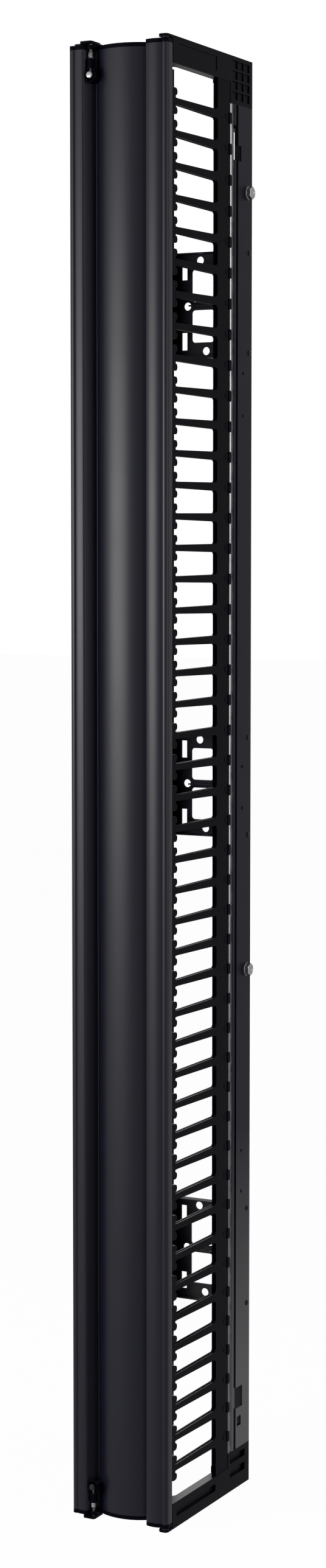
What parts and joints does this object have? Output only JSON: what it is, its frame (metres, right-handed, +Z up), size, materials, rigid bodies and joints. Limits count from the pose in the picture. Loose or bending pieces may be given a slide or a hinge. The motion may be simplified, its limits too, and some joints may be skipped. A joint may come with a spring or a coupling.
{
  "type": "vertical cable manager",
  "caption": "Tall vertical rack cable manager with T-headed finger strips on both sides, an open back with cross brackets and a hinged profiled front door.",
  "frame": {"origin": "centre of the bounding box's footprint, on the floor", "axes": "+Z up, -Y towards the front door, +X to the right as seen from the front"},
  "size_m": [0.1732, 0.27, 2.134],
  "materials": {
    "upright_black": "satin black powder coat",
    "door_black": "satin black paint on extruded metal",
    "dark_screw": "black oxide",
    "finger_black": "fine moulded texture",
    "end_black": "fine moulded texture",
    "nylon": "smooth black nylon",
    "knob_chrome": "polished",
    "spring_steel": "drawn wire",
    "pin_steel": "blackened ground bar",
    "zinc": "bright zinc plate"
  },
  "bodies": {
    "frame": {"rail_right": "upright_black", "rail_left": "upright_black", "cross_bracket_upper": "upright_black", "cross_bracket_middle": "upright_black", "cross_bracket_lower": "upright_black", "bracket_screws": "dark_screw", "top_cap": "end_black", "bottom_cap": "end_black", "cap_screws": "dark_screw", "finger_strip_right_upper": "finger_black", "finger_strip_right_middle": "finger_black", "finger_strip_right_lower": "finger_black", "finger_strip_left_upper": "finger_black", "finger_strip_left_middle": "finger_black", "finger_strip_left_lower": "finger_black", "strip_screws": "zinc", "mounting_bolts": "zinc", "mounting_washers": "zinc", "mounting_nuts": "zinc", "hinge_pin_top": "pin_steel", "hinge_pin_bottom": "pin_steel", "hinge_washers": "nylon"},
    "door": {"door_panel_upper": "door_black", "door_panel_lower": "door_black", "door_splice": "door_black", "splice_screws": "zinc", "door_cap_top": "end_black", "door_cap_bottom": "end_black", "door_cap_screws": "zinc", "hinge_bush_top": "nylon", "hinge_bush_bottom": "nylon", "latch_housing_top": "end_black", "latch_housing_bottom": "end_black", "latch_spring_top": "spring_steel", "latch_spring_bottom": "spring_steel"},
    "latch_top": {"latch_pin_top": "pin_steel", "latch_knob_top": "knob_chrome"},
    "latch_bottom": {"latch_pin_bottom": "pin_steel", "latch_knob_bottom": "dark_screw"}
  },
  "joints": [
    {"name": "door_hinge", "type": "hinge", "parent": "frame", "child": "door", "pos_m": [0.0735, -0.1295, 0], "axis": [0, 0, 1], "range_deg": [0, 115]},
    {"name": "latch_top_slide", "type": "slide", "parent": "door", "child": "latch_top", "axis": [0, 0, 1], "range_m": [0, 0.0038], "deforming": ["latch_spring_top"]},
    {"name": "latch_bottom_slide", "type": "slide", "parent": "door", "child": "latch_bottom", "axis": [0, 0, -1], "range_m": [0, 0.0038], "deforming": ["latch_spring_bottom"]}
  ]
}
